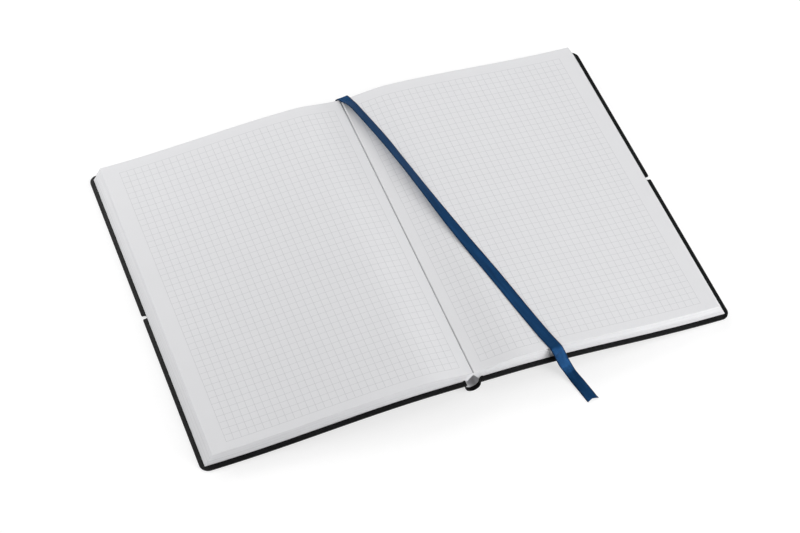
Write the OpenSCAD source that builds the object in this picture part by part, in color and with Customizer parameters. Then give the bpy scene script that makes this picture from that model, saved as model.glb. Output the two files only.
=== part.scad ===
// A notebook with squared leaves and a soft black cover, lying open at its middle.
// The cover rests on its two fore edges and on the back of its hollow spine.
// X runs across the spread, Y from tail to head, and Z up from the table.
// The origin is under the gutter, at the middle of the height, on the table.

/* [Leaves] */
// Reach of the top leaf from the gutter to its fore edge
page_w = 173; // [140:1:200]
// Height of a leaf from tail to head
page_h = 250; // [180:1:300]
// Thickness of the leaves on each side of the gutter
half_t = 9.3; // [7:0.1:13]
// How far the lowest leaf reaches past the top one
fore_slant = 5.2; // [2:0.1:9]
// How far the top leaf sinks towards the gutter
gutter_dip = 3.5; // [2:0.1:5]
// Width of the stretch over which the top leaf sinks
dip_reach = 35; // [25:1:50]
// Paper left between the gutter and the opening behind it
fold_t = 2.2; // [1.5:0.1:3]
// Depth of the crease in the gutter
crease_depth = 0.8; // [0.4:0.1:1.2]
// Half the width of the crease
crease_half_w = 0.9; // [0.5:0.1:1.5]
// How far the back edges of the leaves hang into the spine
back_drop = 0.5; // [0.2:0.1:1.5]
// Play between the leaves and the lining of the cover
rest_gap = 0.3; // [0.2:0.05:0.5]

/* [Cover] */
// How far the cover stands past the leaves at head and tail
end_square = 3.5; // [2:0.1:6]
// How far the cover stands past the lowest leaf at the fore edge
fore_square = 3; // [1.5:0.1:6]
// Thickness of the card inside the cover
card_t = 1; // [0.8:0.1:2]
// Thickness of the black leatherette skin
skin_t = 0.35; // [0.3:0.05:0.5]
// Thickness of the endpaper that lines the cover
paper_t = 0.2; // [0.15:0.05:0.3]
// Width of the skin that is turned in over the card
turn_in = 15; // [12:1:25]
// Radius of the two outer corners
corner_r = 6; // [4:0.5:12]
// Height of the cover's spine side above its fore edge
spine_lift = 9.9; // [8:0.1:12]
// Distance from the gutter at which the cover starts to bend down
bend_start = 20; // [18:1:40]

/* [Notch] */
// Width of the notch in the middle of each fore edge
notch_w = 3; // [2.4:0.1:6]
// Depth of the notch
notch_depth = 3.2; // [3:0.1:5]
// Radius of the notch's rounded lips
lip_r = 0.9; // [0.6:0.1:1.2]

/* [Spine] */
// Outside width of the hollow spine
spine_w = 10.6; // [9.6:0.1:12]
// Radius of the turn from the spine into the cover
turn_r = 1.1; // [0.9:0.1:2]
// Width of the soft joint between the spine and the card
joint_w = 0.9; // [0.8:0.1:4]
// How far the spine's ends stand back from the cover's ends
spine_back = 2.2; // [1:0.1:4]
// How far the white lining stands back from the spine's ends
liner_back = 4.4; // [1.5:0.1:7]
// Thickness of the lining glued to the backs of the leaves
mull_t = 0.3; // [0.2:0.05:0.4]
// Slit between the spine and each cover where they bend
hinge_slit = 0.1; // [0.05:0.05:0.2]

/* [Ribbon] */
// Width of the ribbon marker
ribbon_w = 8; // [5:0.5:10]
// Thickness of the ribbon marker
ribbon_t = 0.3; // [0.2:0.05:0.5]
// Play under the ribbon where it lies on the leaves or the table
ribbon_gap = 0.2; // [0.1:0.05:0.3]

/* [Hidden] */
$fn = 48;
over = 1;
bend_steps = 20;
leaf_steps = 40;
turn_steps = 6;
leaf_spacing = 1.3;
turn_flat = 0.2;

cover_t = skin_t + card_t + paper_t;
low_leaf_w = page_w + fore_slant;
cover_w = low_leaf_w + fore_square;
cover_h = page_h + 2 * end_square;
spine_h = cover_h - 2 * spine_back;
liner_h = spine_h - 2 * liner_back;
spine_r = spine_w / 2;
hinge_x = spine_r + turn_r + turn_flat;
card_x = hinge_x + joint_w;
lining_top = cover_t + spine_lift;
joint_z = lining_top - paper_t - skin_t;
turn_z = joint_z - turn_r;

paper_colour = "#e4e4e6";
skin_colour = "#17181a";
card_colour = "#8b8378";
ribbon_colour = "#163d6b";

// Share of the lift that is left at distance d from the gutter
function lift_left(d) =
    (1 + cos(180 * max(0, min(1, (d - bend_start) / (cover_w - bend_start))))) / 2;

// Distances from the gutter between a and b, in equal steps
function steps(a, b, n) = [for (i = [0:n]) a + (b - a) * i / n];

// Distances at which the bending cover is drawn, all of them or out to the distance far
bend_at = steps(bend_start, cover_w, bend_steps);
function bend_stations(far) = concat([for (d = bend_at) if (d < far) d], [far]);

// Height of the endpaper's upper face
lining = [for (d = concat([0], bend_at)) [d, cover_t + spine_lift * lift_left(d)]];
function lining_z(d) = lookup(d, lining);

// Height of the lowest leaf's underside
function leaf_low_z(d) = lining_z(d) + rest_gap;

// Sinking of the top leaf towards the gutter
function dip(d) = gutter_dip * (1 + cos(180 * min(1, d / dip_reach))) / 2;

// Height of the top leaf
function leaf_top_z(d) = leaf_low_z(d) + half_t - dip(d);

function backwards(list) = [for (i = [len(list) - 1:-1:0]) list[i]];

// Points of an arc about the point c
function arc(c, r, a0, a1, n) =
    [for (a = steps(a0, a1, n)) c + r * [cos(a), sin(a)]];

function mirrored(points) = [for (p = backwards(points)) [-p[0], p[1]]];

// Section across the spread, drawn in X and Z, run along the height h
module run(h) {
    rotate([90, 0, 0])
        linear_extrude(height = h, center = true)
            children();
}

// Everything about the right cover, or its mirror image for the left one
module side(s) {
    if (s > 0) children();
    else mirror([1, 0, 0]) children();
}

// Section of the open leaves, from the crease round the right half to its back
back_x = spine_r - skin_t - paper_t - rest_gap;
back_z = turn_z - back_drop;
back_r = turn_r + skin_t + paper_t + rest_gap;
fold_z = leaf_top_z(0) - fold_t;

function right_leaves() = concat(
    [for (i = [0:leaf_steps])
        let (d = crease_half_w + (page_w - crease_half_w) * pow(i / leaf_steps, leaf_spacing))
        [d, leaf_top_z(d)]],
    [for (d = backwards(bend_stations(low_leaf_w))) [d, leaf_low_z(d)]],
    arc([spine_r + turn_r, turn_z], back_r, 90, 180, turn_steps),
    [[back_x, back_z]]);

// All the leaves, open at the middle, as one solid
module text_block() {
    color(paper_colour)
        run(page_h)
            polygon(concat([[0, leaf_top_z(0) - crease_depth]], right_leaves(),
                           [[0, fold_z]], mirrored(right_leaves())));
}

// Lining glued to the two slanting backs of the leaves
module spine_mull() {
    leg = [back_x, back_z - fold_z];
    leg_len = norm(leg);
    inward = [leg[1], -leg[0]] / leg_len;
    foot = [back_x, back_z];
    inner_foot = foot + mull_t * inward;
    inner_fold = [0, fold_z - mull_t * leg_len / back_x];
    color(paper_colour)
        run(liner_h)
            polygon(concat([[0, fold_z], foot, inner_foot, inner_fold],
                           [for (p = [inner_foot, foot]) [-p[0], p[1]]]));
}

// Section of one layer of the hollow spine, between two depths under its outside
module spine_layer(outer, inner) {
    wall_x = spine_r - inner;
    wall_t = inner - outer;
    difference() {
        translate([0, spine_r]) circle(r = spine_r - outer);
        translate([0, spine_r]) circle(r = spine_r - inner);
        translate([-spine_w, spine_r]) square([2 * spine_w, spine_w]);
    }
    for (s = [0, 1])
        mirror([s, 0]) {
            translate([wall_x, spine_r]) square([wall_t, turn_z - spine_r]);
            intersection() {
                difference() {
                    translate([spine_r + turn_r, turn_z]) circle(r = turn_r + inner);
                    translate([spine_r + turn_r, turn_z]) circle(r = turn_r + outer);
                }
                translate([wall_x - over, turn_z]) square([turn_r + inner + over, spine_w]);
            }
            translate([spine_r + turn_r, joint_z + outer])
                square([hinge_x - hinge_slit - spine_r - turn_r, wall_t]);
        }
}

// Leatherette of the hollow spine, from one joint round to the other
module spine_skin() {
    color(skin_colour)
        run(spine_h)
            spine_layer(0, skin_t);
}

// White paper inside the hollow spine
module spine_liner() {
    color(paper_colour)
        run(liner_h)
            spine_layer(skin_t, skin_t + paper_t);
}

// Notch in the fore edge, widened by grow
module notch(grow) {
    end_x = cover_w - notch_depth + notch_w / 2;
    half = notch_w / 2 + grow;
    translate([end_x, 0]) circle(r = half);
    translate([end_x, -half]) square([notch_depth + over, 2 * half]);
    for (s = [0, 1])
        mirror([0, s])
            difference() {
                translate([cover_w - lip_r, 0]) square([lip_r + over, notch_w / 2 + lip_r]);
                translate([cover_w - lip_r, notch_w / 2 + lip_r]) circle(r = lip_r - grow);
            }
}

// Outline of the right cover from above, from x outwards, drawn in by inset
module cover_plan(x, inset) {
    far_x = cover_w - corner_r;
    far_y = cover_h / 2 - corner_r;
    half_h = cover_h / 2 - inset;
    difference() {
        union() {
            translate([x, -half_h]) square([far_x - x, 2 * half_h]);
            translate([x, -far_y]) square([cover_w - inset - x, 2 * far_y]);
            for (y = [-far_y, far_y]) translate([far_x, y]) circle(r = corner_r - inset);
        }
        notch(inset);
    }
}

// Keeps the part of its children that lies over a flat outline
module trimmed() {
    intersection() {
        children(0);
        translate([0, 0, -over]) linear_extrude(height = lining_top + 2 * over) children(1);
    }
}

// Band of the right cover's section between two heights over its outside
module cover_band(x, far, low, high) {
    stations = concat([x], bend_stations(far));
    polygon(concat([for (d = stations) [d, lining_z(d) - cover_t + low]],
                   [for (d = backwards(stations)) [d, lining_z(d) - cover_t + high]]));
}

// Card of the right cover, raised by a skin's thickness where no skin is turned in
module card_form() {
    trimmed() {
        run(cover_h) cover_band(card_x, cover_w, skin_t, card_t);
        cover_plan(card_x, skin_t);
    }
    run(cover_h - 2 * turn_in)
        cover_band(card_x, cover_w - turn_in, card_t - over / 2, skin_t + card_t);
}

module card(s) {
    color(card_colour) side(s) card_form();
}

// Leatherette of one cover: outside, soft joint and turned-in edges
module cover_skin(s) {
    joint_in = hinge_x + hinge_slit;
    color(skin_colour)
        side(s)
            difference() {
                trimmed() {
                    run(cover_h) {
                        cover_band(card_x - skin_t, cover_w, 0, skin_t + card_t);
                        translate([joint_in, joint_z]) square([card_x - joint_in, skin_t]);
                    }
                    cover_plan(joint_in, 0);
                }
                card_form();
            }
}

// Endpaper glued over the card and the turned-in edges, as large as the lowest leaf
module endpaper(s) {
    color(paper_colour)
        side(s)
            run(page_h)
                cover_band(hinge_x + hinge_slit, low_leaf_w, skin_t + card_t, cover_t);
}

module left_card() { card(-1); }
module left_cover_skin() { cover_skin(-1); }
module left_endpaper() { endpaper(-1); }
module right_card() { card(1); }
module right_cover_skin() { cover_skin(1); }
module right_endpaper() { endpaper(1); }

// Route of the ribbon's middle up from the hollow spine, past its head end:
// X, distance past that end, share of the height of the leaves over their backs, turn, bank
hollow_bank = acos(min(1, 2 * (spine_r - skin_t - paper_t - ribbon_gap) / ribbon_w));
head_end = max(spine_h, page_h) / 2;
head_route = [
    [0, -14.3, -0.17, 0, hollow_bank],
    [0, -7.3, -0.17, 0, hollow_bank],
    [0, -1.7, -0.15, 0, hollow_bank],
    [0.3, 1.1, 0.06, 0, hollow_bank],
    [1, 1.8, 0.4, 2, 0],
    [1.6, 1.4, 0.78, 5, -1],
    [2.2, 0.2, 1.03, 11, -2]];

// Over the leaves: X, share of half their height, turn of its width in plan, and its bank
leaf_route = [
    [3, 0.994, 17, -4],
    [4.1, 0.968, 15, -11],
    [5.6, 0.936, 14, -20],
    [7.1, 0.891, 13, -25],
    [11.3, 0.747, 13, -25],
    [15, 0.608, 11, -25],
    [18, 0.472, 10, -28],
    [21, 0.338, 10, -28],
    [23.9, 0.205, 11, -25],
    [26.9, 0.074, 11, -19],
    [30.1, -0.056, 12, -12],
    [33.5, -0.183, 12, -7],
    [37, -0.309, 12, -3],
    [40.4, -0.432, 12, -1],
    [43.5, -0.554, 12, 0],
    [46.5, -0.674, 11, 0],
    [49.6, -0.793, 12, 0],
    [52.9, -0.914, 14, 0],
    [54.8, -0.97, 17, 0],
    [55.8, -1, 19, 0]];

// Down from the tail to the table: X, distance past the leaves where the cover stands
// route_square past them, share of the height of the leaves, turn, bank
route_square = 3.5;
tail_route = [
    [57, 2.1, 0.89, 18, 9],
    [58.3, 3, 0.73, 15, 14],
    [59.4, 4.3, 0.57, 14, 15],
    [60.6, 5.5, 0.4, 20, 12],
    [62, 6.9, 0.24, 26, 5],
    [63.1, 8.9, 0.13, 21, 0],
    [64.1, 11.5, 0.06, 18, -3],
    [65.8, 18.1, 0.02, 12, 0],
    [67.4, 25.2, 0.01, 12, 0],
    [68.8, 32, 0, 9, 0],
    [69.4, 34.2, 0, 7, 0]];

// Height of the ribbon's middle where its lowest part lies just over the leaves
function lie_z(x, turn, bank) =
    ribbon_t / 2 + ribbon_gap
    + max([for (q = [-1, 0, 1] * ribbon_w / 2)
        leaf_top_z(abs(x + q * cos(bank) * cos(turn))) - q * sin(bank)]);

// The whole route: X, Y, Z, turn and bank
ribbon_route = concat(
    [for (p = head_route)
        [p[0], head_end + p[1],
         back_z + p[2] * (leaf_top_z(0) - back_z) - ribbon_w / 2 * sin(max(0, p[4])),
         p[3], p[4]]],
    [for (p = leaf_route) [p[0], p[1] * page_h / 2, lie_z(p[0], p[2], p[3]), p[2], p[3]]],
    [for (p = tail_route)
        [p[0], -page_h / 2 - p[1] * max(1, end_square / route_square),
         ribbon_t / 2 + ribbon_gap + p[2] * leaf_top_z(p[0]), p[3], p[4]]]);
ribbon_edge = 0.4;
ribbon_rings = 2;

// Value t of the way from b to c on a smooth curve through a, b, c and e
function smooth(a, b, c, e, t) =
    0.5 * (2 * b + (c - a) * t + (2 * a - 5 * b + 4 * c - e) * t * t
           + (3 * b - a - 3 * c + e) * t * t * t);

function route_at(i) = ribbon_route[max(0, min(len(ribbon_route) - 1, i))];

function ribbon_stations() = concat(
    [for (i = [0:len(ribbon_route) - 2], k = [0:ribbon_rings - 1])
        smooth(route_at(i - 1), route_at(i), route_at(i + 1), route_at(i + 2),
               k / ribbon_rings)],
    [route_at(len(ribbon_route) - 1)]);

function unit(v) = v / norm(v);

// Outline of the ribbon across its width and its thickness
function ribbon_section() =
    let (w = ribbon_w / 2, e = w - ribbon_edge, t = ribbon_t / 2)
    [[w, 0], [e, t], [0, t], [-e, t], [-w, 0], [-e, -t], [0, -t], [e, -t]];

// Ribbon marker, from inside the head of the spine over the leaves to the table
module ribbon_marker() {
    stations = ribbon_stations();
    last = len(stations) - 1;
    section = ribbon_section();
    sides = len(section);
    rings = [for (i = [0:last])
        let (p = stations[i],
             next = stations[min(i + 1, last)],
             prev = stations[max(i - 1, 0)],
             along = unit([for (k = [0:2]) next[k] - prev[k]]),
             lean = [cos(p[4]) * cos(p[3]), cos(p[4]) * sin(p[3]), sin(p[4])],
             across = unit(lean - (lean * along) * along),
             up = cross(along, across))
        [for (q = section) [p[0], p[1], p[2]] + q[0] * across + q[1] * up]];
    faces = concat(
        [[for (k = [0:sides - 1]) k]],
        [for (i = [0:last - 1], k = [0:sides - 1], half = [0, 1])
            let (a = i * sides + k, b = i * sides + (k + 1) % sides)
            half == 0 ? [a, a + sides, b + sides] : [a, b + sides, b]],
        [[for (k = [sides - 1:-1:0]) last * sides + k]]);
    color(ribbon_colour)
        polyhedron(points = [for (ring = rings, q = ring) q], faces = faces);
}

text_block();
spine_mull();
spine_skin();
spine_liner();
left_card();
left_cover_skin();
left_endpaper();
right_card();
right_cover_skin();
right_endpaper();
ribbon_marker();
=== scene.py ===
"""A squared notebook with a soft black cover, lying open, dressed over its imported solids.

X runs across the spread, Y from tail to head, and Z up from the table, all in metres.
"""

import math

import bmesh
import bpy
import numpy as np
from mathutils import Matrix
from mathutils import Vector


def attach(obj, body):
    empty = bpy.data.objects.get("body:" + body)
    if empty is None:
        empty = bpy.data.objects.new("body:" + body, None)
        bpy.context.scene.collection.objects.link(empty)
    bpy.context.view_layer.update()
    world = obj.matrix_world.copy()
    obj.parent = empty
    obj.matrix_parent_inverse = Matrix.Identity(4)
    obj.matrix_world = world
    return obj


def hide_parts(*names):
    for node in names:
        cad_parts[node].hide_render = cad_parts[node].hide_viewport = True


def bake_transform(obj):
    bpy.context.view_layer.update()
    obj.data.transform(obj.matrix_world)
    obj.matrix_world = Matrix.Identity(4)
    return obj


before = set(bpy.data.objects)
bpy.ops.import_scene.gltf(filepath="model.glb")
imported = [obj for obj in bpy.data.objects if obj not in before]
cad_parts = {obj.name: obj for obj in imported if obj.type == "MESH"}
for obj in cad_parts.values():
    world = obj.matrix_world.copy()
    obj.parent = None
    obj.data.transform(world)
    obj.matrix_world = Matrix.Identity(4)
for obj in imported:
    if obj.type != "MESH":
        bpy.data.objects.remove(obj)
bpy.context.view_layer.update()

# Sizes of the solids, in millimetres, and the step from millimetres to metres
MM = 0.001
PAGE_W = 173.0
PAGE_H = 250.0
HALF_T = 9.3
FORE_SLANT = 5.2
GUTTER_DIP = 3.5
DIP_REACH = 35.0
FOLD_T = 2.2
CREASE_DEPTH = 0.8
CREASE_HALF_W = 0.9
BACK_DROP = 0.5
REST_GAP = 0.3
END_SQUARE = 3.5
FORE_SQUARE = 3.0
CARD_T = 1.0
SKIN_T = 0.35
PAPER_T = 0.2
CORNER_R = 6.0
SPINE_LIFT = 9.9
BEND_START = 20.0
NOTCH_W = 3.0
NOTCH_DEPTH = 3.2
LIP_R = 0.9
SPINE_W = 10.6
TURN_R = 1.1
TURN_FLAT = 0.2
JOINT_W = 0.9
HALF_SLIT = 0.1
SPINE_BACK = 2.2
RIBBON_W = 8.0
RIBBON_T = 0.3
RIBBON_GAP = 0.2

COVER_T = SKIN_T + CARD_T + PAPER_T
LOW_LEAF_W = PAGE_W + FORE_SLANT
COVER_W = LOW_LEAF_W + FORE_SQUARE
COVER_H = PAGE_H + 2 * END_SQUARE
SPINE_H = COVER_H - 2 * SPINE_BACK
SPINE_R = SPINE_W / 2
HINGE_X = SPINE_R + TURN_R + TURN_FLAT
CARD_X = HINGE_X + JOINT_W
WRAP_T = SKIN_T + CARD_T
JOINT_Z = COVER_T + SPINE_LIFT - PAPER_T - SKIN_T
TURN_Z = JOINT_Z - TURN_R
BEND_STEPS = 20
BEND_AT = np.linspace(BEND_START, COVER_W, BEND_STEPS + 1)


def lift_left(d):
    """Share of the lift of the cover that is left at distance d from the gutter."""
    share = np.clip((np.asarray(d, float) - BEND_START) / (COVER_W - BEND_START), 0, 1)
    return (1 + np.cos(math.pi * share)) / 2


def lining_z(d):
    """Height of the endpaper's upper face."""
    stations = np.concatenate([[0.0], BEND_AT])
    return np.interp(d, stations, COVER_T + SPINE_LIFT * lift_left(stations))


def leaf_low_z(d):
    """Height of the lowest leaf's underside."""
    return lining_z(d) + REST_GAP


def dip(d):
    """Sinking of the top leaf towards the gutter."""
    return GUTTER_DIP * (1 + np.cos(math.pi * np.minimum(1, np.asarray(d, float) / DIP_REACH))) / 2


def leaf_top_z(d):
    """Height of the top leaf."""
    return leaf_low_z(d) + HALF_T - dip(d)


# Camera, at the photograph's angle and distance
CAMERA_AT = Vector((-0.3724, -0.9108, 1.1886))
CAMERA_RIGHT = Vector((0.93567, -0.35221, 0.02162))
CAMERA_DOWN = Vector((-0.26059, -0.73099, -0.63067))
CAMERA_AHEAD = Vector((0.23793, 0.58446, -0.77575))
LENS = 103.8
SENSOR = 36.0
CLIP = (0.05, 20)


def make_camera():
    """The camera that took the photograph, as fitted to the printed squares."""
    camera = bpy.data.objects.new("photo_camera", bpy.data.cameras.new("photo_camera"))
    bpy.context.scene.collection.objects.link(camera)
    axes = Matrix((CAMERA_RIGHT, -CAMERA_DOWN, -CAMERA_AHEAD)).transposed()
    camera.matrix_world = Matrix.Translation(CAMERA_AT) @ axes.to_4x4()
    camera.data.lens = LENS
    camera.data.sensor_width = SENSOR
    camera.data.sensor_fit = "HORIZONTAL"
    camera.data.clip_start, camera.data.clip_end = CLIP
    bpy.context.scene.camera = camera


make_camera()


# Meshes

# Points nearer than this, in metres, are one, and edges turned by more than these angles stay sharp
WELD = 1e-6
SHARP_LEAVES = math.radians(28)
SHARP_SKIN = math.radians(35)


def new_piece(name, points, faces):
    """A smooth piece from points in millimetres and faces."""
    mesh = bpy.data.meshes.new(name)
    mesh.from_pydata([tuple(p) for p in np.asarray(points, float) * MM], [], faces)
    mesh.validate()
    mesh.polygons.foreach_set("use_smooth", [True] * len(mesh.polygons))
    piece = bpy.data.objects.new(name, mesh)
    bpy.context.scene.collection.objects.link(piece)
    return piece


def put_uv(piece, name, uv_of_corner):
    """A UV map in metres, from a function of a face's number and a corner's point number."""
    layer = piece.data.uv_layers.new(name=name)
    for face in piece.data.polygons:
        for loop in face.loop_indices:
            point = piece.data.loops[loop].vertex_index
            layer.data[loop].uv = uv_of_corner(face.index, point)


def grid_faces(rows, columns, first=0, around=False):
    """Faces of a grid of points given row by row; around joins its last column to its first."""
    last = columns if around else columns - 1
    faces = []
    for i in range(rows - 1):
        for k in range(last):
            a = first + i * columns + k
            b = first + i * columns + (k + 1) % columns
            faces.append((a, b, b + columns, a + columns))
    return faces


def band_faces(rows, n):
    """Faces of a thin closed band given ring by ring of n points, with both of its ends."""
    faces = [tuple(reversed(f)) for f in grid_faces(rows, n, around=True)]
    last = (rows - 1) * n
    for k in range(n // 2 - 1):
        faces.append((k, k + 1, n - 2 - k, n - 1 - k))
        faces.append((last + n - 1 - k, last + n - 2 - k, last + k + 1, last + k))
    return faces


def mend(mesh, most_corners=None, outward=False):
    """Joins doubled points, cuts faces with more corners than these, and turns faces outward."""
    work = bmesh.new()
    work.from_mesh(mesh)
    bmesh.ops.remove_doubles(work, verts=work.verts, dist=WELD)
    if most_corners:
        bmesh.ops.triangulate(work, faces=[f for f in work.faces if len(f.verts) > most_corners])
    if outward:
        bmesh.ops.recalc_face_normals(work, faces=work.faces)
    work.to_mesh(mesh)
    work.free()


# Ribbon marker: the route of part.scad, in millimetres
HOLLOW_HALF = SPINE_R - SKIN_T - PAPER_T - RIBBON_GAP
HOLLOW_BANK = math.degrees(math.acos(min(1, 2 * HOLLOW_HALF / RIBBON_W)))
HEAD_END = max(SPINE_H, PAGE_H) / 2
BACK_Z = TURN_Z - BACK_DROP
HEAD_ROUTE = [
    (0, -14.3, -0.17, 0, HOLLOW_BANK), (0, -7.3, -0.17, 0, HOLLOW_BANK),
    (0, -1.7, -0.15, 0, HOLLOW_BANK), (0.3, 1.1, 0.06, 0, HOLLOW_BANK),
    (1, 1.8, 0.4, 2, 0), (1.6, 1.4, 0.78, 5, -1), (2.2, 0.2, 1.03, 11, -2)]
LEAF_ROUTE = [
    (3, 0.994, 17, -4), (4.1, 0.968, 15, -11), (5.6, 0.936, 14, -20), (7.1, 0.891, 13, -25),
    (11.3, 0.747, 13, -25), (15, 0.608, 11, -25), (18, 0.472, 10, -28), (21, 0.338, 10, -28),
    (23.9, 0.205, 11, -25), (26.9, 0.074, 11, -19), (30.1, -0.056, 12, -12),
    (33.5, -0.183, 12, -7), (37, -0.309, 12, -3), (40.4, -0.432, 12, -1), (43.5, -0.554, 12, 0),
    (46.5, -0.674, 11, 0), (49.6, -0.793, 12, 0), (52.9, -0.914, 14, 0), (54.8, -0.97, 17, 0),
    (55.8, -1, 19, 0)]
ROUTE_SQUARE = 3.5
TAIL_ROUTE = [
    (57, 2.1, 0.89, 18, 9), (58.3, 3, 0.73, 15, 14), (59.4, 4.3, 0.57, 14, 15),
    (60.6, 5.5, 0.4, 20, 12), (62, 6.9, 0.24, 26, 5), (63.1, 8.9, 0.13, 21, 0),
    (64.1, 11.5, 0.06, 18, -3), (65.8, 18.1, 0.02, 12, 0), (67.4, 25.2, 0.01, 12, 0),
    (68.8, 32, 0, 9, 0), (69.4, 34.2, 0, 7, 0)]


def lie_z(x, turn, bank):
    """Height of the ribbon's middle where its lowest part lies just over the leaves."""
    b = math.radians(bank)
    t = math.radians(turn)
    reach = [q * RIBBON_W / 2 for q in (-1, 0, 1)]
    highest = max(leaf_top_z(abs(x + q * math.cos(b) * math.cos(t))) - q * math.sin(b) for q in reach)
    return RIBBON_T / 2 + RIBBON_GAP + highest


def ribbon_route():
    """X, Y, Z, turn and bank of the ribbon's middle."""
    top = float(leaf_top_z(0))
    rows = []
    for x, past, share, turn, bank in HEAD_ROUTE:
        droop = RIBBON_W / 2 * math.sin(math.radians(max(0, bank)))
        rows.append((x, HEAD_END + past, BACK_Z + share * (top - BACK_Z) - droop, turn, bank))
    for x, share, turn, bank in LEAF_ROUTE:
        rows.append((x, share * PAGE_H / 2, lie_z(x, turn, bank), turn, bank))
    for x, past, share, turn, bank in TAIL_ROUTE:
        y = -PAGE_H / 2 - past * max(1, END_SQUARE / ROUTE_SQUARE)
        z = RIBBON_T / 2 + RIBBON_GAP + share * float(leaf_top_z(x))
        rows.append((x, y, z, turn, bank))
    return np.array(rows, float)


def through(rows, per_step):
    """Points of the smooth curve through the rows."""
    made = []
    last = len(rows) - 1
    for i in range(last):
        a, b, c, e = rows[max(0, i - 1)], rows[i], rows[i + 1], rows[min(last, i + 2)]
        for k in range(per_step):
            t = k / per_step
            made.append(0.5 * (2 * b + (c - a) * t + (2 * a - 5 * b + 4 * c - e) * t * t
                               + (3 * b - a - 3 * c + e) * t * t * t))
    made.append(rows[last])
    return np.array(made)


RIBBON_STEPS = 8
RIBBON_ACROSS = 16
# The free end: depth of its notch, its slant, and the length over which both fade, in mm
END_NOTCH = 1.1
END_SLANT = 0.6
END_FADE = 6
# The woven edges thin out over this share of half the width, to this share of the thickness
THIN_EDGE = 0.06
THIN_LEFT = 0.45
# Wrinkles: distance from the far end, lean across the ribbon, half length, and height, all in mm
WRINKLES = [(43.5, 1.0, 2.8, 0.6), (37.0, -1.5, 2.2, 0.1), (33.5, -3.0, 1.6, 0.1), (27.5, 2.0, 4.5, 0.4),
            (58.0, 2.0, 3.2, 0.1), (86.0, -2.0, 3.0, -0.08), (132.0, 3.0, 4.0, 0.08), (15.0, 1.5, 3.5, 0.12)]
# Crown across the free end, its length, and the length over which it fades
CROWN = 0.6
CROWN_LENGTH = 30.0
CROWN_FADE = 8
# Short pleat at the right edge: distance from the far end, place across, length, width and height
PLEAT = (35.6, 0.62, 2.6, 0.16, -0.3)


def wrinkled(from_end, q):
    """Height of the ribbon's small wrinkles, at a distance from its far end and a share across it."""
    height = CROWN * (1 - q * q) * np.clip((CROWN_LENGTH - from_end) / CROWN_FADE, 0, 1)
    for at, lean, half, rise in WRINKLES:
        height += rise * np.exp(-((from_end - at - lean * q) / half) ** 2)
    at, middle, length, width, rise = PLEAT
    height += rise * np.exp(-((from_end - at) / length) ** 2 - ((q - middle) / width) ** 2)
    return height


def make_ribbon():
    """The ribbon as a thin closed band, and its route in metres."""
    stations = through(ribbon_route(), RIBBON_STEPS)
    middle = stations[:, :3]
    along = np.gradient(middle, axis=0)
    along /= np.linalg.norm(along, axis=1)[:, None]
    turn = np.radians(stations[:, 3])
    bank = np.radians(stations[:, 4])
    lean = np.stack([np.cos(bank) * np.cos(turn), np.cos(bank) * np.sin(turn), np.sin(bank)], axis=1)
    across = lean - (lean * along).sum(1)[:, None] * along
    across /= np.linalg.norm(across, axis=1)[:, None]
    up = np.cross(along, across)
    travelled = np.concatenate([[0], np.cumsum(np.linalg.norm(np.diff(middle, axis=0), axis=1))])
    q = np.linspace(-1, 1, RIBBON_ACROSS + 1)
    flat = np.clip((1 - np.abs(q)) / THIN_EDGE, 0, 1)
    half = RIBBON_T / 2 * (THIN_LEFT + (1 - THIN_LEFT) * np.sqrt(flat))
    ring_q = np.concatenate([q, q[::-1]])
    ring_t = np.concatenate([half, -half[::-1]])
    points = []
    end_pull = END_NOTCH * (1 - np.abs(ring_q)) - END_SLANT * ring_q
    for i in range(len(middle)):
        late = np.clip((travelled[i] - travelled[-1] + END_FADE) / END_FADE, 0, 1) ** 2
        raised = ring_t + wrinkled(travelled[-1] - travelled[i], ring_q)
        ring = (middle[i] + np.outer(ring_q * RIBBON_W / 2, across[i])
                + np.outer(raised, up[i]) - np.outer(end_pull * late, along[i]))
        points.append(ring)
    points = np.concatenate(points)
    n = len(ring_q)
    piece = new_piece("ribbon_marker_silk", points, band_faces(len(middle), n))
    uv = [(ring_q[p % n] * RIBBON_W / 2 * MM, travelled[p // n] * MM) for p in range(len(points))]
    put_uv(piece, "weave", lambda face, point: uv[point])
    path = (middle * MM).tolist()
    return piece, path


ribbon, ribbon_path = make_ribbon()


# Node trees

def link_or_set(tree, socket, value):
    """Joins a value's socket to an input, or sets the input to the value."""
    if isinstance(value, bpy.types.NodeSocket):
        tree.links.new(value, socket)
    elif value is not None:
        socket.default_value = value


def put(tree, kind, values=(), **settings):
    """A node with its settings and its inputs, given in order or by name."""
    node = tree.nodes.new(kind)
    for key, value in settings.items():
        setattr(node, key, value)
    pairs = values.items() if isinstance(values, dict) else enumerate(values)
    for key, value in pairs:
        link_or_set(tree, node.inputs[key], value)
    return node


def calc(tree, operation, *values):
    """The result of one step of arithmetic."""
    return put(tree, "ShaderNodeMath", values, operation=operation).outputs[0]


def spread_to(tree, value, low, high, to_low, to_high):
    """A value taken from one range to another, and held there."""
    node = put(tree, "ShaderNodeMapRange", {"Value": value, "From Min": low, "From Max": high,
                                            "To Min": to_low, "To Max": to_high})
    return node.outputs["Result"]


def blend_colours(tree, share, first, second):
    """Two colours mixed by a share."""
    node = put(tree, "ShaderNodeMix", data_type="RGBA", blend_type="MIX")
    link_or_set(tree, node.inputs[0], share)
    link_or_set(tree, node.inputs[6], first)
    link_or_set(tree, node.inputs[7], second)
    return node.outputs[2]


def noise(tree, where, scale, detail=2.0, roughness=0.5):
    """Soft noise, from 0 to 1."""
    node = put(tree, "ShaderNodeTexNoise", {"Vector": where, "Scale": scale, "Detail": detail,
                                            "Roughness": roughness})
    return node.outputs["Fac"]


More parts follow.
